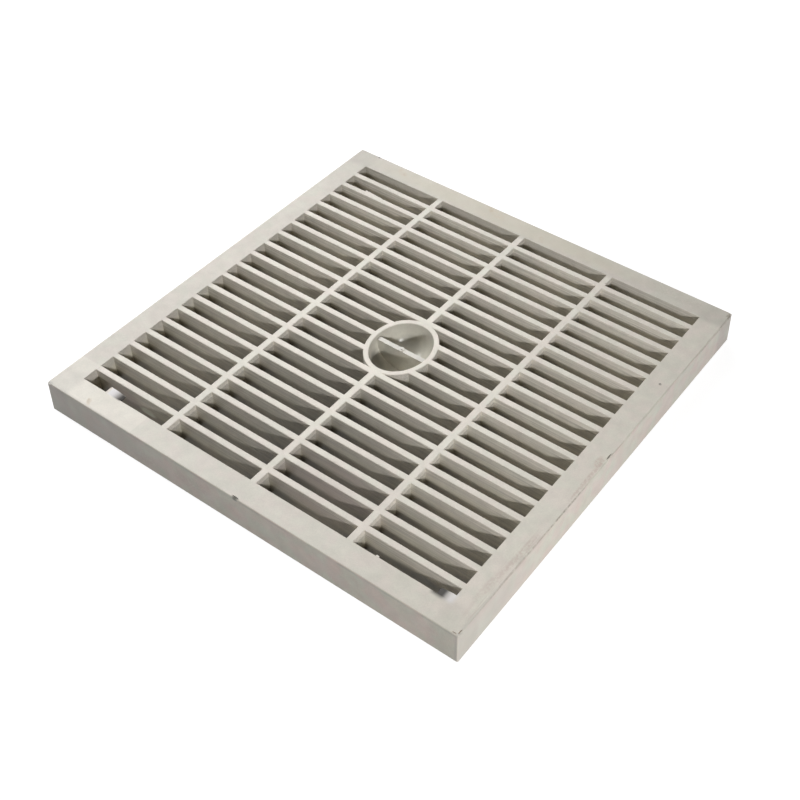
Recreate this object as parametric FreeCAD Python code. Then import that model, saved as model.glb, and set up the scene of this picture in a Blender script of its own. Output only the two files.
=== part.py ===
import FreeCAD, Part
import math
import os

# Gully grate moulded in one piece from pale grey plastic.
# A square rim with a skirt round it carries slats along X and three cross ribs
# along Y. In the middle an oval ring holds a cup with a thin web across it,
# which two fingers pinch to lift the grate out of its seat.
# Millimetres, +Z up, X along the slats, Y across them.
# The origin is the centre of the rectangle that the skirt's foot stands on.

V = FreeCAD.Vector

# Slot pattern
columns = 4
rows = 20
slot_length = 85.3
slot_width = 12.83
slat_width = 5.4
cross_rib_width = 6.0
slat_depth = 26.0
straight_depth = 4.5      # upper band of every slot wall, before the draft starts
slot_draft = 0.95         # each wall moves back this far from band to bottom
slot_bevel = 0.4

# Rim and skirt
rim_width = 20.4
overall_height = 29.3
rim_thickness = 4.0
skirt_wall = 3.2
skirt_flare = 0.87        # the foot stands out this far on each side
border_wall = 3.2         # wall round the slot field, under the rim
corner_radius = 1.3
edge_bevel = 0.5

# Stiffening webs between the skirt and the slot field
gusset_thickness = 2.4
gusset_depth = 20.0
gusset_every = 3          # one at every third slat

# Oval ring and lifting cup
ring_half_x = 24.6        # inner edge
ring_half_y = 30.45
ring_wall = 4.45
cup_depth = 25.6
cup_wall = 2.8
cup_taper = 0.905         # share of its half width that is left where the drafted wall ends
cup_straight = 0.42       # depth of that wall as a share of the cup's
cup_round = 0.70          # half height of the rounded floor as a share of the cup's depth
cup_outside = [           # half width as a share of the ring's, depth as a share of the cup's with its wall
    (1.11, 0.0), (1.01, 0.44), (0.80, 0.77), (0.36, 1.0)]
web_thickness = 4.3
web_recess = 3.0          # top of the web below the rim's face
web_draft = 0.5
gate_radius = 2.6         # boss where the plastic was let in, wider than the web
gate_height = 0.6
gate_reach = 1.0          # it runs this far down the web
gate_pit = 0.8            # radius of the pit left beside its middle

# Moulding flash left in three slots
flash_thickness = 1.2
ledge_start = 24.6
ledge_length = 15.0
ledge_width = 6.4
ledge_drop = 1.8
corner_flash_length = 12.5
corner_flash_width = 6.2
corner_flash_drop = 1.8
nub_start = 20.0
nub_length = 2.4
nub_width = 1.4
nub_drop = 0.8
fin_start = 24.0
fin_length = 20.0
fin_width = 1.4

# Gouges and chips in the outer edge
gouge_depth = 1.6
gouge_width = 0.8
gouge_inset = 0.9         # thin lip left standing outside a gouge
near_gouge_place = -0.5   # from the middle of the near side
near_gouge_length = 6.8
side_gouge_place = -2.0   # from the middle of the right-hand side
side_gouge_length = 8.0
far_gouge_inset = 21.8    # from the far left corner
far_gouge_length = 3.5
burr_inset = 4.2          # two short gouges beside the near right corner
burr_length = 4.5
chip_depth = 0.7
near_chip_x = 4.6         # chip off the near left corner
near_chip_y = 1.8
far_chip_x = 2.4          # chip off the far right corner
far_chip_y = 6.0

# Sizes worked out from the ones above
column_pitch = slot_length + cross_rib_width
row_pitch = slot_width + slat_width
field_half_x = (columns * column_pitch - cross_rib_width) / 2
field_half_y = (rows * row_pitch - slat_width) / 2
half_x = field_half_x + rim_width
half_y = field_half_y + rim_width
top = overall_height
slat_foot = top - slat_depth
rim_underside = top - rim_thickness


def block(levels):
    """Solid with flat faces, from rectangles (x0, x1, y0, y1, z) stacked upwards."""
    rings = [[V(x0, y0, z), V(x1, y0, z), V(x1, y1, z), V(x0, y1, z)] for x0, x1, y0, y1, z in levels]
    outlines = [rings[0][::-1], rings[-1]]
    for low, high in zip(rings, rings[1:]):
        for i in range(4):
            k = (i + 1) % 4
            outlines.append([low[i], low[k], high[k], high[i]])
    faces = [Part.Face(Part.makePolygon(points + points[:1])) for points in outlines]
    shell = Part.makeShell(faces)
    shell.sewShape()
    return Part.Solid(shell)


def centred(reach_x, reach_y, z):
    """Level of a block whose rectangle is centred on the Z axis."""
    return (-reach_x, reach_x, -reach_y, reach_y, z)


def rounded_block(levels):
    """Block with its four upright edges rounded."""
    solid = block(levels)
    upright = [e for e in solid.Edges if abs(e.Vertexes[0].Z - e.Vertexes[1].Z) > 1e-6]
    return solid.makeFillet(corner_radius, upright)


def oval(reach_x, reach_y, z):
    """Closed wire of an ellipse round the Z axis, level at height z."""
    along_x = V(reach_x, 0, z)
    along_y = V(0, reach_y, z)
    centre = V(0, 0, z)
    if reach_x >= reach_y:
        curve = Part.Ellipse(along_x, along_y, centre)
    else:
        curve = Part.Ellipse(along_y, along_x, centre)
    return Part.Wire([curve.toShape()])


def stack(wires):
    """Solid with straight walls from each wire to the next."""
    return Part.makeLoft(wires, True, True)


def bowl(reach_x, reach_y, depth):
    """Solid oval bowl hanging from the rim's face: a drafted wall, then a round floor."""
    below_middle = 1 - (1 - cup_straight) / cup_round
    radius = cup_taper / math.sqrt(1 - below_middle * below_middle)
    deep = radius / cup_round
    middle = (1 - cup_round) * deep
    turn = (math.asin(below_middle) + math.pi / 2) / 2
    start = V(1, 0, 0)
    foot = V(cup_taper, 0, -cup_straight * deep)
    halfway = V(radius * math.cos(turn), 0, -middle - radius * math.sin(turn))
    lowest = V(0, 0, -deep)
    outline = [Part.makeLine(start, foot), Part.Arc(foot, halfway, lowest).toShape(),
               Part.makeLine(lowest, V(0, 0, 0)), Part.makeLine(V(0, 0, 0), start)]
    solid = Part.Face(Part.Wire(outline)).revolve(V(0, 0, 0), V(0, 0, 1), 360)
    stretch = FreeCAD.Matrix()
    stretch.scale(reach_x, reach_y, depth / deep)
    stretch.move(V(0, 0, top))
    return solid.transformGeometry(stretch)


def wedge(profile, direction):
    """Prism from a closed list of points, pushed along a direction."""
    face = Part.Face(Part.makePolygon(profile + profile[:1]))
    return face.extrude(direction)


def slot_corner(column, row):
    """Lowest X and Y of a slot, counted from the corner at -X, -Y."""
    return (-field_half_x + column * column_pitch, -field_half_y + row * row_pitch)


def make_frame():
    """Rim plate with its drafted skirt, hollow below and open over the slots."""
    outside = rounded_block([
        centred(half_x + skirt_flare, half_y + skirt_flare, 0),
        centred(half_x, half_y, top),
    ])
    rim_edges = [e for e in outside.Edges if all(abs(v.Z - top) < 1e-6 for v in e.Vertexes)]
    outside = outside.makeChamfer(edge_bevel, rim_edges)
    flare_per_mm = skirt_flare / overall_height
    inner_top = flare_per_mm * rim_thickness - skirt_wall
    inner_foot = skirt_flare - skirt_wall
    hollow = rounded_block([
        centred(half_x + inner_foot, half_y + inner_foot, 0),
        centred(half_x + inner_top, half_y + inner_top, rim_underside),
    ])
    window = Part.makeBox(2 * field_half_x, 2 * field_half_y, rim_thickness,
                          V(-field_half_x, -field_half_y, rim_underside))
    return outside.cut(hollow).cut(window)


def slot_cutter(column, row):
    """Space of one slot: bevelled mouth, straight band, then a drafted wall."""
    x0, y0 = slot_corner(column, row)
    levels = [
        (slat_foot, slot_draft),
        (top - straight_depth, 0),
        (top - slot_bevel, 0),
        (top + slot_bevel, 2 * slot_bevel),
    ]
    return block([
        (x0 - out, x0 + slot_length + out, y0 - out, y0 + slot_width + out, z)
        for z, out in levels
    ])


def ring_body():
    """Outside of the oval ring, which the slots beside it stop at."""
    reach_x = ring_half_x + ring_wall
    reach_y = ring_half_y + ring_wall
    levels = [
        (top + slot_bevel, -2 * slot_bevel),
        (top - slot_bevel, 0),
        (top - straight_depth, 0),
        (slat_foot, -slot_draft),
    ]
    return stack([oval(reach_x + out, reach_y + out, z) for z, out in levels])


def make_slot_field():
    """Plate that the slots are cut from, and the cutters, which stop at the ring."""
    wall_x = field_half_x + border_wall
    wall_y = field_half_y + border_wall
    lower = Part.makeBox(2 * wall_x, 2 * wall_y, rim_underside - slat_foot, V(-wall_x, -wall_y, slat_foot))
    upper = Part.makeBox(2 * field_half_x, 2 * field_half_y, rim_thickness,
                         V(-field_half_x, -field_half_y, rim_underside))
    ring = ring_body()
    cutters = []
    for column in range(columns):
        for row in range(rows):
            cutter = slot_cutter(column, row)
            if cutter.BoundBox.intersect(ring.BoundBox):
                cutter = cutter.cut(ring)
            cutters.append(cutter)
    return lower.fuse(upper), Part.makeCompound(cutters)


def make_gussets():
    """Thin webs that tie the skirt to the wall round the slots."""
    foot = top - gusset_depth
    webs = []
    reach_x = half_x - skirt_wall / 2
    reach_y = half_y - skirt_wall / 2
    for column in range(1, columns):
        x = -field_half_x + column * column_pitch - cross_rib_width / 2
        for side in (-1, 1):
            y0 = min(side * field_half_y, side * reach_y)
            webs.append(Part.makeBox(gusset_thickness, reach_y - field_half_y, gusset_depth - rim_thickness / 2,
                                     V(x - gusset_thickness / 2, y0, foot)))
    for row in range(gusset_every, rows, gusset_every):
        y = -field_half_y + row * row_pitch - slat_width / 2
        for side in (-1, 1):
            x0 = min(side * field_half_x, side * reach_x)
            webs.append(Part.makeBox(reach_x - field_half_x, gusset_thickness, gusset_depth - rim_thickness / 2,
                                     V(x0, y - gusset_thickness / 2, foot)))
    return webs


def cup_body():
    """Cup as seen from below, as deep as the slots are and a little more."""
    return stack([oval(share * ring_half_x, share * ring_half_y, top - down * (cup_depth + cup_wall))
                  for share, down in cup_outside])


def cup_foot():
    """Cup body from the rim's underside down."""
    reach_x = ring_half_x + ring_wall
    reach_y = ring_half_y + ring_wall
    return cup_body().common(Part.makeBox(2 * reach_x, 2 * reach_y, rim_underside, V(-reach_x, -reach_y, 0)))


def cup_space():
    """Two finger pockets: an oval bowl with the web left standing across it."""
    space = bowl(ring_half_x, ring_half_y, cup_depth)
    mouth = stack([
        oval(ring_half_x - 2 * slot_bevel, ring_half_y - 2 * slot_bevel, top - 3 * slot_bevel),
        oval(ring_half_x + 2 * slot_bevel, ring_half_y + 2 * slot_bevel, top + slot_bevel),
    ])
    web_top = top - web_recess
    web_foot = top - cup_depth - cup_wall
    half_top = web_thickness / 2
    half_foot = half_top + web_draft
    reach = ring_half_x + ring_wall / 2
    profile = [V(-reach, -half_foot, web_foot), V(-reach, half_foot, web_foot),
               V(-reach, half_top, web_top), V(-reach, -half_top, web_top)]
    web = wedge(profile, V(2 * reach, 0, 0))
    gate = Part.makeCylinder(gate_radius, gate_height + gate_reach, V(0, 0, web_top - gate_reach))
    pit = Part.makeCylinder(gate_pit, 2 * gate_height, V(gate_pit, -gate_pit, web_top))
    return space.fuse(mouth).cut(web.fuse(gate)).fuse(pit)


def under_cup_space():
    """Hollow below the cup, so that its floor is a shell and not a lump."""
    reach_x = ring_half_x
    reach_y = ring_half_y
    well = stack([oval(reach_x, reach_y, slat_foot - cup_wall), oval(reach_x, reach_y, top - straight_depth)])
    return well.cut(cup_body())


def flash_strip(start, end, drop, y0, y1):
    """Thin strip that curves down from the rim's face at start, drop lower at end."""
    curve = [(start + (end - start) * t, top - drop * t * t) for t in (0, 1 / 3, 2 / 3, 1)]
    upper = [V(x, y0, z) for x, z in curve]
    lower = [V(x, y0, z - flash_thickness) for x, z in reversed(curve)]
    return wedge(upper + lower, V(0, y1 - y0, 0))


def make_flash():
    """Thin leftover plastic in three slots, where the tool gapped."""
    bite = slat_width / 4
    x0, y0 = slot_corner(0, 0)
    start = x0 + ledge_start
    ledge = flash_strip(start, start + ledge_length, ledge_drop, y0 - bite, y0 + ledge_width)
    x0, y0 = slot_corner(columns - 1, 0)
    start = x0 + slot_length + bite
    corner = flash_strip(start, start - bite - corner_flash_length, corner_flash_drop, y0 - bite,
                         y0 + corner_flash_width)
    nub = Part.makeBox(nub_length, bite + nub_width, flash_thickness,
                       V(x0 + nub_start, y0 - bite, top - nub_drop - flash_thickness))
    x0, y0 = slot_corner(0, rows - 2)
    start = x0 + fin_start
    fin = wedge([V(start, y0 - bite, top), V(start, y0 + fin_width, top),
                 V(start + fin_length, y0, top), V(start + fin_length, y0 - bite, top)],
                V(0, 0, -flash_thickness))
    return [ledge, corner, nub, fin]


def bite_out(points, depth):
    """Cut from the rim's face, with this outline seen from above."""
    return wedge([V(x, y, top - depth) for x, y in points], V(0, 0, 2 * depth))


def gouge_along_x(x, y, length):
    """Narrow gouge beside the near or far edge, with a thin lip outside it."""
    outer = y - math.copysign(gouge_inset, y)
    inner = outer - math.copysign(gouge_width, y)
    reach = length / 2
    return bite_out([(x - reach, outer), (x + reach, outer), (x + reach - gouge_width, inner),
                     (x - reach + gouge_width, inner)], gouge_depth)


def gouge_along_y(x, y, length):
    """Narrow gouge beside the left or right edge, with a thin lip outside it."""
    outer = x - math.copysign(gouge_inset, x)
    inner = outer - math.copysign(gouge_width, x)
    reach = length / 2
    return bite_out([(outer, y - reach), (outer, y + reach), (inner, y + reach - gouge_width),
                     (inner, y - reach + gouge_width)], gouge_depth)


def corner_chip(x, y, reach_x, reach_y):
    """Corner of the rim's face broken off, reach_x by reach_y."""
    side_x = math.copysign(1, x)
    side_y = math.copysign(1, y)
    beyond_x = x + side_x * chip_depth
    beyond_y = y + side_y * chip_depth
    return bite_out([(x - side_x * reach_x, y), (x, y - side_y * reach_y), (beyond_x, y - side_y * reach_y),
                     (beyond_x, beyond_y), (x - side_x * reach_x, beyond_y)], chip_depth)


def edge_damage():
    """Every gouge and chip of the outer edge."""
    return [
        gouge_along_x(near_gouge_place, -half_y, near_gouge_length),
        gouge_along_x(far_gouge_inset - half_x, half_y, far_gouge_length),
        gouge_along_x(half_x - burr_inset, -half_y, burr_length),
        gouge_along_y(half_x, burr_inset - half_y, burr_length),
        gouge_along_y(half_x, side_gouge_place, side_gouge_length),
        corner_chip(-half_x, -half_y, near_chip_x, near_chip_y),
        corner_chip(half_x, half_y, far_chip_x, far_chip_y),
    ]


def make_grate():
    """The whole moulding as one solid."""
    plate, slots = make_slot_field()
    body = make_frame().fuse([plate] + make_gussets())
    body = body.cut(slots)
    body = body.fuse(make_flash())
    body = body.cut(edge_damage())
    body = body.removeSplitter()
    body = body.fuse(cup_foot())
    body = body.cut(under_cup_space())
    return body.cut(cup_space())


os.makedirs("parts", exist_ok=True)
grate = make_grate()
box = grate.BoundBox
print("grate: solids %d, valid %s, faces %d, volume %.0f mm3" %
      (len(grate.Solids), grate.isValid(), len(grate.Faces), grate.Volume))
print("box %.2f %.2f %.2f to %.2f %.2f %.2f" % (box.XMin, box.YMin, box.ZMin, box.XMax, box.YMax, box.ZMax))
grate.Solids[0].exportStep("parts/grate.step")
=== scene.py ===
import bpy
import math
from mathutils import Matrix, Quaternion, Vector


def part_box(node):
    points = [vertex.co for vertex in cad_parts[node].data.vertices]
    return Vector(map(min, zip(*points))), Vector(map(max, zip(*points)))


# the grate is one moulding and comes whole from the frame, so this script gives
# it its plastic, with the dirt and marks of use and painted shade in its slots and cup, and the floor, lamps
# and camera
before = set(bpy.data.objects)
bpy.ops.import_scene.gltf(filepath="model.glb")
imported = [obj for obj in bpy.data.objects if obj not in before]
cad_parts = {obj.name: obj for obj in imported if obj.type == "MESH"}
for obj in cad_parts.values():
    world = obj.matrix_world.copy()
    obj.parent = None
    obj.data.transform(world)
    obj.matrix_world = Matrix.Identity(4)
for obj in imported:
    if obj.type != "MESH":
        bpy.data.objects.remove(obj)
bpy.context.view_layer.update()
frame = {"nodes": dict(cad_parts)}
grate = frame["nodes"]["grate"]
perMetre = 1000.0  # the plastic is laid out in mm
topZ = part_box("grate")[1][2] * perMetre  # height of the walked face
print("frame loaded:", ", ".join(frame["nodes"]))

# sizes of the moulding that the dirt follows, in mm
moulding = {
    "faceHalf": 200.0,  # the walked face reaches this far from the middle
    "rimWidth": 20.4,
    "columnPitch": 91.3,
    "straightDepth": 4.5,  # upper band of the slot walls, before the draft starts
    "cupHalfX": 24.6,
    "cupHalfY": 30.45,
    "cupDepth": 25.6,
}
fieldHalf = moulding["faceHalf"] - moulding["rimWidth"]
endless = 1000.0  # reach of an oval along an axis on which it has no end


# node helpers

def addNode(tree, kind, inputs=None, **settings):
    node = tree.nodes.new(kind)
    for name, value in settings.items():
        setattr(node, name, value)
    for name, value in (inputs or {}).items():
        socket = node.inputs[name]
        if isinstance(value, bpy.types.NodeSocket):
            tree.links.new(value, socket)
        else:
            socket.default_value = value
    return node


def rgba(colour):
    return (*colour, 1.0)


def maths(tree, operation, first, second=0.0):
    return addNode(tree, "ShaderNodeMath", {0: first, 1: second}, operation=operation).outputs[0]


def product(tree, *shares):
    result = shares[0]
    for share in shares[1:]:
        result = maths(tree, "MULTIPLY", result, share)
    return result


def less(tree, share):
    return maths(tree, "SUBTRACT", 1.0, share)


def ramp(tree, value, start, end, low=0.0, high=1.0, smooth=True):
    return addNode(tree, "ShaderNodeMapRange", {
        "Value": value, "From Min": start, "From Max": end, "To Min": low, "To Max": high},
        interpolation_type="SMOOTHSTEP" if smooth else "LINEAR").outputs["Result"]


def about(middle, fade):
    # start and end of a ramp, given as distances from a middle
    return middle + fade[0], middle + fade[1]


def within(tree, share, level):
    # the level inside a region, and 1 outside it
    return addNode(tree, "ShaderNodeMix", {0: share, 2: 1.0, 3: level}).outputs[0]


def blend(tree, share, first, second, blendType="MIX"):
    return addNode(tree, "ShaderNodeMix", {0: share, 6: first, 7: second},
                   data_type="RGBA", blend_type=blendType, clamp_factor=True).outputs[2]


def noise(tree, place, size, detail=2.0, roughness=0.5, stretch=(1, 1, 1)):
    # size is that of one blotch in mm, stretch lengthens it along an axis
    if stretch != (1, 1, 1):
        place = addNode(tree, "ShaderNodeMapping", {
            "Vector": place, "Scale": tuple(1 / s for s in stretch)}).outputs[0]
    return addNode(tree, "ShaderNodeTexNoise", {
        "Vector": place, "Scale": 1 / size, "Detail": detail, "Roughness": roughness}).outputs["Fac"]


def uneven(tree, blotches, share, contrast=(0.3, 0.7)):
    # a brightness that strays from 1 by this share to both sides
    return ramp(tree, blotches, *contrast, 1 - share, 1 + share, smooth=False)


def axesOf(tree, vector):
    return addNode(tree, "ShaderNodeSeparateXYZ", {0: vector}).outputs


def fromMiddle(tree, axes):
    # how far out a point lies along X or Y, whichever is more
    return maths(tree, "MAXIMUM", maths(tree, "ABSOLUTE", axes["X"]), maths(tree, "ABSOLUTE", axes["Y"]))


def awayFrom(tree, place, centre, reach, turn=0.0):
    # 0 in the middle of an oval, 1 on its edge; centre and reach are in mm, the turn in degrees
    inside = addNode(tree, "ShaderNodeMapping", {
        "Vector": place, "Location": centre, "Rotation": (0, 0, math.radians(turn)), "Scale": reach},
        vector_type="TEXTURE").outputs[0]
    return addNode(tree, "ShaderNodeVectorMath", {0: inside}, operation="LENGTH").outputs["Value"]


# how the regions of the moulding fade into one another, in mm
fades = {
    "rim": (-0.4, 0.4),  # about the edge of the slot field
    "skirt": (-0.6, -0.1),  # about the edge of the walked face
    "belowTop": (0.2, 0.7),  # depth below the face
    "cupMargin": 0.5,  # the cup's oval starts this far up its rounded lip
    "cup": (1.0, 0.99),  # shares of that oval
}


def findPlaces(tree):
    # place and depth of a point in mm, and for each region 1 inside it and 0 outside
    metres = addNode(tree, "ShaderNodeTexCoord").outputs["Object"]
    place = addNode(tree, "ShaderNodeVectorMath", {
        0: metres, "Scale": perMetre}, operation="SCALE").outputs["Vector"]
    axes = axesOf(tree, place)
    outwards = fromMiddle(tree, axes)
    depth = maths(tree, "SUBTRACT", topZ, axes["Z"])
    margin = fades["cupMargin"]
    cupReach = (moulding["cupHalfX"] + margin, moulding["cupHalfY"] + margin, endless)
    return {
        "place": place,
        "axes": axes,
        "depth": depth,
        "onRim": ramp(tree, outwards, *about(fieldHalf, fades["rim"])),
        "onSkirt": ramp(tree, outwards, *about(moulding["faceHalf"], fades["skirt"])),
        "belowTop": ramp(tree, depth, *fades["belowTop"]),
        "inCup": ramp(tree, awayFrom(tree, place, (0, 0, 0), cupReach), *fades["cup"]),
    }


def boxShare(tree, axes, low, high, edge):
    # 1 inside a rectangle seen from above, 0 outside it
    share = 1.0
    for axis, start, end in (("X", low[0], high[0]), ("Y", low[1], high[1])):
        share = product(tree, share, ramp(tree, axes[axis], start - edge, start + edge),
                        ramp(tree, axes[axis], end + edge, end - edge))
    return share


# the moulded plastic itself, sizes in mm
plastic = {
    "colour": (0.774, 0.731, 0.642),
    "pink": (0.823, 0.710, 0.645),
    "green": (0.752, 0.744, 0.630),
    "tintShare": 0.30,
    "tintSize": 16.0,
    "tintContrast": (0.38, 0.62),
    "calmTint": 0.3,  # share of the tint that is left where the plastic is calm
    "calmWalls": 0.7,  # how calm the walls of slots and cup are
    "mottle": 0.05,
    "mottleSize": 9.0,
    "cloud": 0.02,
    "cloudSize": 70.0,
    "cloudContrast": (0.35, 0.65),
    "speckle": 0.03,
    "speckleSize": 0.9,
    "roughness": 0.42,
    "roughSpread": (-0.04, 0.06),
    "roughSize": 14.0,
    "roughContrast": (0.3, 0.7),
    "specular": 0.5,
    "coat": 0.12,  # faint shine of the moulded skin
    "coatRoughness": 0.16,
    "grainSize": 0.45,
    "grainHeight": 0.00003,  # metres
    "grainStrength": 0.5,
}

# brighter patch on the near left corner, where something covered the plastic
cleanPatch = {
    "low": (-202.0, -202.0),
    "high": (-108.6, -162.0),
    "edge": 0.7,
    "level": 1.10,
}


def patchShare(tree, at):
    box = boxShare(tree, at["axes"], cleanPatch["low"], cleanPatch["high"], cleanPatch["edge"])
    return product(tree, box, less(tree, at["belowTop"]), at["onRim"])


def tintedColour(tree, at, inPatch):
    # soft pink and green blotches, weaker on the clean patch and on the walls
    tint = ramp(tree, noise(tree, at["place"], plastic["tintSize"]), *plastic["tintContrast"])
    tinted = blend(tree, tint, rgba(plastic["pink"]), rgba(plastic["green"]))
    onWalls = product(tree, at["belowTop"], less(tree, at["onSkirt"]), plastic["calmWalls"])
    calm = maths(tree, "MAXIMUM", inPatch, onWalls)
    share = product(tree, within(tree, calm, plastic["calmTint"]), plastic["tintShare"])
    return blend(tree, share, rgba(plastic["colour"]), tinted)


def mottleLevel(tree, place):
    mottle = uneven(tree, noise(tree, place, plastic["mottleSize"], detail=3.0), plastic["mottle"])
    cloud = uneven(tree, noise(tree, place, plastic["cloudSize"]), plastic["cloud"], plastic["cloudContrast"])
    speckle = uneven(tree, noise(tree, place, plastic["speckleSize"], detail=1.0), plastic["speckle"])
    return product(tree, mottle, cloud, speckle)


# brightness of each side of the rim against the slat tops, partly painted shade that evens out how the lamps
# light the face
rim = {
    "near": 0.90,
    "far": 0.805,
    "left": 0.825,
    "right": 0.935,
    "fade": (-6.0, 2.0),  # about the edge of the slot field
}

# the same for the skirt, where the side levels are painted light and shade for how the lamps fall on each
# face, and which has blotches of its own; sizes and depths in mm
skirt = {
    "near": 1.10,
    "far": 1.00,
    "left": 1.00,
    "right": 1.07,
    "pink": (0.730, 0.630, 0.555),
    "green": (0.700, 0.668, 0.565),
    "tintSize": 20.0,
    "tintContrast": (0.38, 0.62),
    "blotch": 0.035,
    "blotchSize": 11.0,
    "blotchContrast": (0.32, 0.68),
    "edgeDirt": 0.86,  # broken line of dirt just under the outer edge
    "edgeDirtTop": (0.3, 0.9),  # depth
    "edgeDirtFoot": (3.4, 1.6),
    "edgeDirtSize": 22.0,
    "edgeDirtContrast": (0.42, 0.58),
}


def skirtColour(tree, place):
    tint = ramp(tree, noise(tree, place, skirt["tintSize"], detail=1.0), *skirt["tintContrast"])
    colour = blend(tree, tint, rgba(skirt["pink"]), rgba(skirt["green"]))
    blotches = noise(tree, place, skirt["blotchSize"], detail=3.0, roughness=0.6)
    blotch = uneven(tree, blotches, skirt["blotch"], skirt["blotchContrast"])
    redder = addNode(tree, "ShaderNodeCombineColor", {0: 1.0, 1: blotch, 2: blotch}).outputs[0]
    return blend(tree, 1.0, colour, redder, "MULTIPLY")


def sideLevel(tree, axes):
    # each side of the skirt has its own level of painted light and shade, and each side of the rim one that
    # is partly painted shade
    level = 1.0
    for axis, sign, side in (("Y", -1, "near"), ("Y", 1, "far"), ("X", -1, "left"), ("X", 1, "right")):
        out = maths(tree, "MULTIPLY", axes[axis], sign)
        onRim = ramp(tree, out, *about(fieldHalf, rim["fade"]), 1.0, rim[side])
        onSkirt = ramp(tree, out, *about(moulding["faceHalf"], fades["skirt"]), 1.0, skirt[side] / rim[side])
        level = product(tree, level, onRim, onSkirt)
    return level


def edgeDirtLevel(tree, at):
    parts = ramp(tree, noise(tree, at["place"], skirt["edgeDirtSize"]), *skirt["edgeDirtContrast"])
    line = product(tree, at["onSkirt"], ramp(tree, at["depth"], *skirt["edgeDirtTop"]),
                   ramp(tree, at["depth"], *skirt["edgeDirtFoot"]), parts)
    return within(tree, line, skirt["edgeDirt"])


# painted sheen: slat tops are lighter towards the middle of the grate, where the back lamp's broad reflection
# falls
middle = {
    "level": 1.14,
    "reach": (185.0, 185.0, endless),
    "fade": (1.0, 0.1),
}


def middleSheenLevel(tree, at):
    away = awayFrom(tree, at["place"], (0, 0, 0), middle["reach"])
    share = product(tree, ramp(tree, away, *middle["fade"]), less(tree, at["belowTop"]))
    return within(tree, share, middle["level"])


# walls of the slots: levels of brightness, ranges of depth, and at the ends the share of brightness that the
# painted shadow takes and the range of distances from a slot's left end, all in mm; apart from the streaks
# these levels are painted shade
slots = {
    "step": 0.90,  # below the straight band
    "stepFade": (-0.3, 0.3),
    "foot": 0.88,
    "footDepth": (7.0, 13.0),
    "streak": 0.16,
    "streakSize": 1.1,
    "streakStretch": (60, 1, 1),
    "nearRows": 0.94,  # painted shade: darker than the far rows, which are painted lighter
    "farRows": 1.15,
    "farWallFacing": (-0.5, -0.9),  # the rows differ on walls that face the near side
    "endWall": 0.90,
    "endWallFacing": (0.5, 0.9),
    "nearMiddle": 0.18,  # loss of brightness in the near half, away from the sides
    "nearMiddleCentre": (0, -70.0, 0),
    "nearMiddleReach": (110.0, 230.0, endless),
    "nearMiddleFade": (1.0, 0.3),
    "leftShadow": 0.29,
    "leftShadowEnd": (32.0, 4.0),
    "leftShadowDepth": (11.0, 16.0),
    "rightShadow": 0.23,
    "rightShadowEnd": (62.0, 76.0),
    "rightShadowTop": (4.2, 5.4),
    "rightShadowFoot": (15.5, 11.5),
    "rightFootShade": 0.50,
    "rightFootShadeEnd": (55.0, 76.0),
    "rightFootShadeDepth": (13.0, 22.0),
}


def slotStreaksAndShade(tree, at):
    # painted shade below the straight band, further down, on end walls, in near rows and as shadows in the
    # slot ends; the streaks are marks
    place, axes, depth = at["place"], at["axes"], at["depth"]
    step = ramp(tree, depth, *about(moulding["straightDepth"], slots["stepFade"]), 1.0, slots["step"])
    foot = ramp(tree, depth, *slots["footDepth"], 1.0, slots["foot"])
    lines = noise(tree, place, slots["streakSize"], roughness=0.6, stretch=slots["streakStretch"])
    streak = uneven(tree, lines, slots["streak"])
    facing = axesOf(tree, addNode(tree, "ShaderNodeTexCoord").outputs["Normal"])
    row = ramp(tree, axes["Y"], -fieldHalf, fieldHalf, slots["nearRows"], slots["farRows"], smooth=False)
    row = within(tree, ramp(tree, facing["Y"], *slots["farWallFacing"]), row)
    endWall = ramp(tree, facing["X"], *slots["endWallFacing"], 1.0, slots["endWall"])
    away = awayFrom(tree, place, slots["nearMiddleCentre"], slots["nearMiddleReach"])
    nearMiddle = product(tree, ramp(tree, away, *slots["nearMiddleFade"]), slots["nearMiddle"])

    # painted shadows of the lamps in the left and right ends of each slot, and painted shade low in the right
    # end
    fromEnd = maths(tree, "MODULO", maths(tree, "ADD", axes["X"], fieldHalf), moulding["columnPitch"])
    leftShadow = product(tree, ramp(tree, fromEnd, *slots["leftShadowEnd"]),
                        ramp(tree, depth, *slots["leftShadowDepth"]), slots["leftShadow"])
    rightShadow = product(tree, ramp(tree, fromEnd, *slots["rightShadowEnd"]),
                         ramp(tree, depth, *slots["rightShadowTop"]),
                         ramp(tree, depth, *slots["rightShadowFoot"]), slots["rightShadow"])
    rightFootShade = product(tree, ramp(tree, fromEnd, *slots["rightFootShadeEnd"]),
                        ramp(tree, depth, *slots["rightFootShadeDepth"]), slots["rightFootShade"])
    return product(tree, step, foot, streak, row, endWall, less(tree, leftShadow), less(tree, rightShadow),
                   less(tree, rightFootShade), less(tree, nearMiddle))


def slotLevel(tree, at):
    inSlot = product(tree, less(tree, at["onRim"]), less(tree, at["inCup"]), at["belowTop"])
    return within(tree, inSlot, slotStreaksAndShade(tree, at))


# cup and the web across it: levels of brightness, which are painted light and shade, ranges of depth in mm
cup = {
    "wall": 0.86,
    "floor": 1.04,
    "wallStart": 3.0,
    "roughness": 0.22,
    "web": 0.90,
    "webTop": (3.1, 3.5),
    "webFoot": 0.80,
    "webFootDepth": (5.0, 14.0),
    "webHalf": (3.0, 2.6),  # half its width, with the boss on it
}


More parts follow.
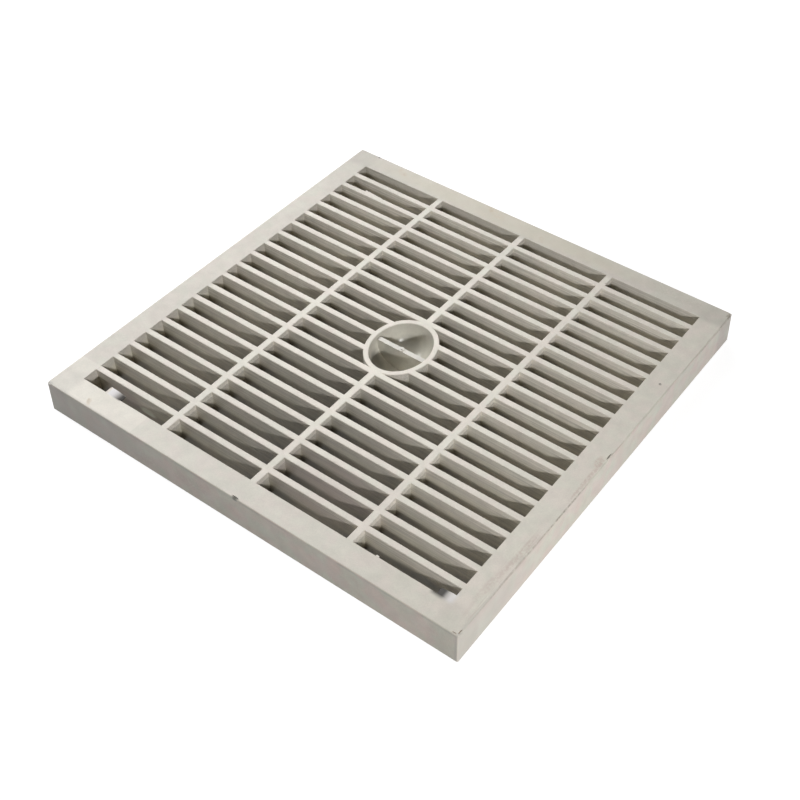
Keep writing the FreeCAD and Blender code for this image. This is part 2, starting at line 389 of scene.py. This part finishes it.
def cupLevel(tree, at):
    inside = product(tree, at["inCup"], at["belowTop"])
    # painted shade: darker high on the cup's wall, lighter towards its floor, and darker down the web
    cupDepthShade = ramp(tree, at["depth"], cup["wallStart"], moulding["cupDepth"],
                cup["wall"], cup["floor"], smooth=False)
    onWeb = product(tree, inside, ramp(tree, maths(tree, "ABSOLUTE", at["axes"]["Y"]), *cup["webHalf"]))
    web = product(tree, ramp(tree, at["depth"], *cup["webTop"], 1.0, cup["web"]),
                  ramp(tree, at["depth"], *cup["webFootDepth"], 1.0, cup["webFoot"]))
    return product(tree, within(tree, inside, cupDepthShade), within(tree, onWeb, web))


# hue of the walls against the slat tops, from the mouth of a slot to its foot: the warm hue is dirt, and the
# lighter, cooler mouth and darker foot are painted light and shade
wallHue = {
    "mouth": (1.05, 1.055, 1.07),
    "deep": (1.05, 1.045, 0.99),
    "deepDepth": (4.0, 12.0),
    "foot": (0.86, 0.82, 0.72),
    "footDepth": (11.0, 18.0),
    "cup": (1.00, 1.02, 1.02),
}


def wallTint(tree, at):
    deep = ramp(tree, at["depth"], *wallHue["deepDepth"])
    foot = ramp(tree, at["depth"], *wallHue["footDepth"])
    hue = blend(tree, deep, rgba(wallHue["mouth"]), rgba(wallHue["deep"]))
    hue = blend(tree, foot, hue, rgba(wallHue["foot"]))
    hue = blend(tree, at["inCup"], hue, rgba(wallHue["cup"]))
    return blend(tree, product(tree, at["belowTop"], less(tree, at["onSkirt"])), (1, 1, 1, 1), hue)


# fine pale scratches in two directions, in patches; sizes in mm
scratches = {
    "size": 0.45,
    "stretch": (34.0, 1, 8),
    "contrast": (0.70, 0.76),
    "turns": (28, -47),  # degrees
    "patchSize": 30.0,
    "patchContrast": (0.45, 0.60),
    "colour": (0.95, 0.93, 0.88),
    "share": 0.10,
}


def scratched(tree, at, colour):
    lines = 0.0
    for turn in scratches["turns"]:
        turned = addNode(tree, "ShaderNodeMapping", {
            "Vector": at["place"], "Rotation": (0, 0, math.radians(turn))}).outputs[0]
        oneWay = noise(tree, turned, scratches["size"], detail=0.0, stretch=scratches["stretch"])
        lines = maths(tree, "MAXIMUM", lines, ramp(tree, oneWay, *scratches["contrast"]))
    blotches = noise(tree, at["place"], scratches["patchSize"], detail=1.0)
    patches = ramp(tree, blotches, *scratches["patchContrast"])
    return blend(tree, product(tree, lines, patches, scratches["share"]), colour, rgba(scratches["colour"]))


# fine brown lines beside the right edge, by the near right corner; places in mm along X and Y
edgeStreaks = {
    "size": 1.3,
    "stretch": (1, 22.0, 4),
    "contrast": (0.48, 0.60),
    "inner": (189.0, 196.0),
    "outer": (200.3, 199.0),
    "farEnd": (-80.0, -110.0),
    "nearEnd": (-190.0, -180.0),
    "colour": (0.50, 0.40, 0.34),
    "share": 0.30,
}


def streaked(tree, at, colour):
    band = 1.0
    for axis, side in (("X", "inner"), ("X", "outer"), ("Y", "farEnd"), ("Y", "nearEnd")):
        band = product(tree, band, ramp(tree, at["axes"][axis], *edgeStreaks[side]))
    lines = noise(tree, at["place"], edgeStreaks["size"], stretch=edgeStreaks["stretch"])
    share = product(tree, band, ramp(tree, lines, *edgeStreaks["contrast"]), edgeStreaks["share"],
                    less(tree, at["belowTop"]))
    return blend(tree, share, colour, rgba(edgeStreaks["colour"]))


# thin flash in two slots: pale where it leaves the rim, painted dark at its thin end where it hangs in the
# shade of the slot; places in mm
flash = {
    "pale": (0.80, 0.78, 0.80),
    "paintedShade": (0.06, 0.055, 0.05),
    "paintedShadeRoughness": 0.90,
    "depth": (3.5, 2.9),
    "strips": {
        "ledge": {"low": (-153.0, -180.3), "high": (-139.0, -172.8), "edge": 1.2,
                  "paleToShade": (-150.0, -141.0), "share": 0.80},
        "corner": {"low": (163.5, -181.3), "high": (181.0, -171.0), "edge": 2.5,
                   "paleToShade": (178.5, 171.0), "share": 0.60},
    },
}


def flashColour(tree, at, colour):
    # also gives how matt the plastic is, as the painted shade at the ends is
    matt = 0.0
    for strip in flash["strips"].values():
        fade = ramp(tree, at["axes"]["X"], *strip["paleToShade"])
        tint = blend(tree, fade, rgba(flash["pale"]), rgba(flash["paintedShade"]))
        onStrip = product(tree, boxShare(tree, at["axes"], strip["low"], strip["high"], strip["edge"]),
                          ramp(tree, at["depth"], *flash["depth"]))
        share = product(tree, onStrip, maths(tree, "MAXIMUM", fade, strip["share"]))
        colour = blend(tree, share, colour, tint)
        matt = maths(tree, "MAXIMUM", matt, product(tree, onStrip, fade))
    return colour, matt


def mark(centre, reach, colour, share, turn=0):
    # centre is X, Y and depth below the face, reach is half the mark's size, both in mm
    return {"centre": centre, "reach": reach, "colour": colour, "share": share, "turn": turn}


stains = {
    "farLeftBrown": mark((-145.5, 193.0, 0.0), (11.0, 4.5, 3.0), (0.60, 0.47, 0.34), 0.60, turn=-25),
    "farLeftCore": mark((-143.0, 192.0, 0.0), (4.0, 1.5, 3.0), (0.45, 0.30, 0.19), 0.60, turn=-35),
    "farMiddle": mark((-38.0, 193.5, 0.0), (16.0, 6.0, 3.0), (0.62, 0.49, 0.36), 0.60, turn=-20),
    "farMiddleCore": mark((-45.0, 195.5, 0.0), (4.5, 2.2, 3.0), (0.50, 0.35, 0.20), 0.60, turn=-40),
    "farRightOfMiddle": mark((16.0, 187.0, 0.0), (6.0, 3.0, 3.0), (0.55, 0.42, 0.32), 0.50, turn=-50),
    "nearLeftBrown": mark((-158.0, -194.5, 0.0), (6.5, 2.6, 3.0), (0.60, 0.50, 0.37), 0.60, turn=-55),
    "rightSpeck": mark((192.1, 89.0, 0.0), (1.7, 1.5, 3.0), (0.10, 0.075, 0.05), 1.0),
    "rightSmudge": mark((195.5, -11.5, 0.0), (4.0, 9.0, 3.0), (0.56, 0.42, 0.35), 0.5, turn=5),
    "rightSmudgeLong": mark((197.5, -32.0, 0.0), (2.4, 34.0, 3.0), (0.52, 0.40, 0.33), 0.5),
    "farRightDull": mark((150.0, 192.0, 0.0), (50.0, 9.0, 3.0), (0.56, 0.53, 0.45), 0.6, turn=-2),
    "nearCornerDull": mark((-197.5, -199.0, 0.5), (4.5, 2.5, 2.5), (0.42, 0.41, 0.38), 0.8),
    "farCornerDull": mark((199.0, 195.0, 0.5), (2.5, 5.0, 2.5), (0.30, 0.25, 0.19), 0.8),
    "underRightEdgeFar": mark((200.2, 163.0, 1.7), (2.0, 38.0, 1.2), (0.34, 0.26, 0.19), 0.85),
    "underRightEdgeMiddle": mark((200.2, 52.0, 1.6), (2.0, 50.0, 1.0), (0.44, 0.36, 0.29), 0.55),
    "underRightEdgeNear": mark((200.0, -65.0, 0.5), (1.5, 38.0, 1.0), (0.26, 0.20, 0.16), 0.65),
    "rightEdgeNearCorner": mark((199.8, -130.0, 0.4), (1.6, 62.0, 1.2), (0.40, 0.31, 0.26), 0.55),
    "rightRimBrownUpper": mark((195.5, -118.0, 0.0), (3.5, 30.0, 2.0), (0.56, 0.45, 0.39), 0.55, turn=-2),
    "rightRimBrownLower": mark((193.0, -152.0, 0.0), (4.5, 26.0, 2.0), (0.60, 0.50, 0.44), 0.50, turn=-4),
    "nearSkirtPink": mark((-45.0, -200.0, 15.0), (26.0, 3.0, 9.0), (0.62, 0.50, 0.45), 0.40),
    "nearSkirtPinkLeft": mark((-95.0, -200.0, 19.0), (22.0, 3.0, 9.0), (0.60, 0.48, 0.44), 0.35),
}

# smooth smears and dull places, without the broken edge of the stains; the two in the cup are painted shade
smearsAndShade = {
    "slotSmearLeft": mark((-152.0, -165.5, 13.0), (30.0, 6.0, 12.0), (0.40, 0.31, 0.30), 0.55),
    "slotSmearPale": mark((-126.0, -165.5, 16.5), (11.0, 6.0, 5.0), (0.98, 1.0, 0.88), 1.0),
    # darker low on the far wall of a near slot
    "slotDarkRight": mark((138.0, -165.5, 18.0), (36.0, 7.0, 9.0), (0.15, 0.135, 0.105), 0.80),
    "cupPocketShade": mark((-13.0, -13.0, 14.0), (17.0, 13.0, 11.0), (0.26, 0.255, 0.23), 0.75),
    "cupFarShade": mark((-10.0, 23.0, 15.0), (13.0, 11.0, 7.0), (0.42, 0.41, 0.37), 0.45),
    "nearSkirtDull": mark((-165.0, -200.0, 16.0), (95.0, 3.0, 40.0), (0.56, 0.53, 0.475), 0.45),
    "nearLeftCore": mark((-158.5, -194.5, 0.0), (3.6, 1.6, 3.0), (0.44, 0.34, 0.22), 0.50, turn=-50),
    "slotPink": mark((45.0, -150.0, 8.0), (62.0, 34.0, 12.0), (0.50, 0.37, 0.38), 0.30),
    "farLeftDull": mark((-172.0, 172.0, 0.0), (60.0, 50.0, 4.0), (0.50, 0.465, 0.40), 0.30),
    "rightSkirtDull": mark((200.0, -205.0, 16.0), (3.0, 130.0, 40.0), (0.56, 0.525, 0.47), 0.55),
    "farRimWarm": mark((-30.0, 191.0, 0.0), (190.0, 15.0, 4.0), (0.62, 0.57, 0.44), 0.55),
}

# painted shadow in the gouges of the outer edge, and pale scuffs at the near right corner, partly pale chips
# and partly painted light that lifts the shade of their recesses
gougeShadeAndScuffs = {
    "near": mark((-0.3, -199.2, 1.2), (4.3, 1.5, 2.7), (0.09, 0.085, 0.06), 1.0),
    "nearCorner": mark((195.8, -198.7, 0.9), (2.6, 0.8, 2.0), (0.95, 0.87, 0.78), 0.9),
    "rightCorner": mark((198.7, -195.8, 0.9), (0.8, 2.6, 2.0), (0.95, 0.87, 0.78), 0.9),
    "right": mark((198.7, -2.0, 0.9), (0.8, 4.4, 2.0), (0.28, 0.23, 0.185), 0.9),
    "far": mark((-178.2, 198.7, 0.9), (2.2, 0.8, 2.0), (0.12, 0.10, 0.07), 0.9),
}

markFade = (1.0, 0.4)  # shares of a mark's reach

# small patches that break up the stains, size in mm
broken = {
    "size": 2.0,
    "detail": 4.0,
    "roughness": 0.65,
    "contrast": (0.36, 0.60),
    "least": 0.15,
}


def marked(tree, at, colour, marks, cover=1.0):
    # ovals of another colour, each fading out at its edge
    for oval in marks.values():
        x, y, depth = oval["centre"]
        away = awayFrom(tree, at["place"], (x, y, topZ - depth), oval["reach"], oval["turn"])
        share = product(tree, ramp(tree, away, *markFade), cover, oval["share"])
        colour = blend(tree, share, colour, rgba(oval["colour"]))
    return colour


def allMarks(tree, at, colour):
    patches = noise(tree, at["place"], broken["size"], broken["detail"], broken["roughness"])
    cover = ramp(tree, patches, *broken["contrast"], broken["least"], 1.0)
    colour = marked(tree, at, colour, stains, cover)
    colour = marked(tree, at, colour, smearsAndShade)
    return marked(tree, at, colour, gougeShadeAndScuffs)


def plasticRoughness(tree, at, matt):
    patches = noise(tree, at["place"], plastic["roughSize"], detail=3.0)
    lowest, highest = about(plastic["roughness"], plastic["roughSpread"])
    gloss = ramp(tree, patches, *plastic["roughContrast"], lowest, highest, smooth=False)
    inside = product(tree, at["inCup"], at["belowTop"])
    smoother = within(tree, inside, cup["roughness"] / plastic["roughness"])
    return addNode(tree, "ShaderNodeMix", {
        0: matt, 2: product(tree, gloss, smoother), 3: flash["paintedShadeRoughness"]}).outputs[0]


def makePlastic():
    material = bpy.data.materials.new("paleGreyPlastic")
    material.use_nodes = True
    tree = material.node_tree
    shader = tree.nodes["Principled BSDF"]
    at = findPlaces(tree)

    inPatch = patchShare(tree, at)
    colour = tintedColour(tree, at, inPatch)
    colour = blend(tree, at["onSkirt"], colour, skirtColour(tree, at["place"]))

    level = product(
        tree, mottleLevel(tree, at["place"]), within(tree, inPatch, cleanPatch["level"]),
        sideLevel(tree, at["axes"]), edgeDirtLevel(tree, at), middleSheenLevel(tree, at),
        slotLevel(tree, at), cupLevel(tree, at))
    grey = addNode(tree, "ShaderNodeCombineColor", {0: level, 1: level, 2: level}).outputs[0]
    colour = blend(tree, 1.0, colour, grey, "MULTIPLY")
    colour = blend(tree, 1.0, colour, wallTint(tree, at), "MULTIPLY")

    colour = scratched(tree, at, colour)
    colour = streaked(tree, at, colour)
    colour, matt = flashColour(tree, at, colour)
    colour = allMarks(tree, at, colour)
    tree.links.new(colour, shader.inputs["Base Color"])
    tree.links.new(plasticRoughness(tree, at, matt), shader.inputs["Roughness"])

    grain = noise(tree, at["place"], plastic["grainSize"])
    bump = addNode(tree, "ShaderNodeBump", {
        "Height": grain, "Distance": plastic["grainHeight"], "Strength": plastic["grainStrength"]})
    tree.links.new(bump.outputs["Normal"], shader.inputs["Normal"])
    shader.inputs["Specular IOR Level"].default_value = plastic["specular"]
    shader.inputs["Coat Weight"].default_value = plastic["coat"]
    shader.inputs["Coat Roughness"].default_value = plastic["coatRoughness"]
    return material


# floor and room: white to the camera and in reflections, without lighting the slots from below
room = {
    "ambient": 0.0,
    "backdrop": 1.0,
    "floorSize": 12.0,  # metres
    "floorColour": (0.28, 0.28, 0.28),
    "floorRoughness": 0.9,
    "whiteness": 0.88,
    "shadeEdge": (0.202, 0.190),  # in metres from the middle: the grate shades the floor under it
    "shadeGlow": 0.45,  # share of the whiteness that is left there in reflections
}


def seenByEye(tree):
    rays = addNode(tree, "ShaderNodeLightPath").outputs
    shiny = maths(tree, "MAXIMUM", rays["Is Glossy Ray"], rays["Is Transmission Ray"])
    return maths(tree, "MAXIMUM", rays["Is Camera Ray"], shiny)


def shadeUnderGrate(tree):
    axes = axesOf(tree, addNode(tree, "ShaderNodeTexCoord").outputs["Object"])
    # painted shadow: under the grate the floor's glow is cut in reflections
    shade = ramp(tree, fromMiddle(tree, axes), *room["shadeEdge"])
    reflected = addNode(tree, "ShaderNodeLightPath").outputs["Is Glossy Ray"]
    return product(tree, shade, reflected, 1 - room["shadeGlow"])


def makeFloor():
    bpy.ops.mesh.primitive_plane_add(size=room["floorSize"], location=(0, 0, 0))
    floor = bpy.context.object
    floor.name = "floor"
    material = bpy.data.materials.new("paleFloor")
    material.use_nodes = True
    tree = material.node_tree
    shader = tree.nodes["Principled BSDF"]
    shader.inputs["Base Color"].default_value = rgba(room["floorColour"])
    shader.inputs["Roughness"].default_value = room["floorRoughness"]
    shader.inputs["Emission Color"].default_value = (1, 1, 1, 1)
    glow = product(tree, seenByEye(tree), room["whiteness"], less(tree, shadeUnderGrate(tree)))
    tree.links.new(glow, shader.inputs["Emission Strength"])
    floor.data.materials.append(material)


def makeWorld():
    world = bpy.data.worlds.new("room")
    bpy.context.scene.world = world
    world.use_nodes = True
    tree = world.node_tree
    background = tree.nodes["Background"]
    background.inputs["Color"].default_value = (1, 1, 1, 1)
    strength = ramp(tree, seenByEye(tree), 0.0, 1.0, room["ambient"], room["backdrop"], smooth=False)
    tree.links.new(strength, background.inputs["Strength"])


# lamps: place and size in metres, power in watts, all aimed at the middle of the grate
lamps = {
    "keyLamp": {"place": (0.967, -0.495, 0.395), "size": 0.08, "power": 6.6},
    "backLamp": {"place": (-1.18, 1.20, 1.56), "size": 1.40, "power": 18.0},
    "leftLamp": {"place": (-1.00, 0.00, 1.00), "size": 0.60, "power": 10.2},
}


def makeLamp(name, spec):
    bpy.ops.object.light_add(type="AREA", location=spec["place"])
    lamp = bpy.context.object
    lamp.name = name
    lamp.data.shape = "DISK"
    lamp.data.size = spec["size"]
    lamp.data.energy = spec["power"]
    lamp.visible_camera = False
    lamp.rotation_mode = "QUATERNION"
    lamp.rotation_quaternion = (-Vector(spec["place"])).to_track_quat("-Z", "Y")


# camera, from the vanishing lines of the slats and ribs
view = {
    "place": (0.45715, -0.58495, 0.73198),  # metres
    "azimuth": -34.8515,  # degrees from +Y towards +X
    "elevation": 45.8669,  # degrees below the horizon that it looks
    "roll": 1.2854,
    "focalPixels": 1245.3,
    "centreX": 450.0,  # where the lens axis meets the picture, in its pixels
    "centreY": 400.0,
    "pictureSize": 800,
    "sensorWidth": 36.0,
    "clipStart": 0.05,
    "clipEnd": 30.0,
}


def makeCamera():
    bpy.ops.object.camera_add(location=view["place"])
    camera = bpy.context.object
    azimuth = math.radians(view["azimuth"])
    elevation = math.radians(view["elevation"])
    ahead = Vector((math.sin(azimuth) * math.cos(elevation), math.cos(azimuth) * math.cos(elevation),
                    -math.sin(elevation)))
    roll = Quaternion((0, 0, 1), math.radians(view["roll"]))
    camera.rotation_mode = "QUATERNION"
    camera.rotation_quaternion = ahead.to_track_quat("-Z", "Y") @ roll
    camera.data.sensor_width = view["sensorWidth"]
    camera.data.lens = view["focalPixels"] * view["sensorWidth"] / view["pictureSize"]
    camera.data.shift_x = (view["pictureSize"] / 2 - view["centreX"]) / view["pictureSize"]
    camera.data.shift_y = (view["centreY"] - view["pictureSize"] / 2) / view["pictureSize"]
    camera.data.clip_start = view["clipStart"]
    camera.data.clip_end = view["clipEnd"]
    bpy.context.scene.camera = camera


grate.data.materials.clear()
grate.data.materials.append(makePlastic())
print("plastic on the grate")

makeFloor()
makeWorld()
for lampName, lampSpec in lamps.items():
    makeLamp(lampName, lampSpec)
bpy.context.scene.view_settings.view_transform = "Standard"
print("floor, room and lamps ready")

makeCamera()
print("camera placed")
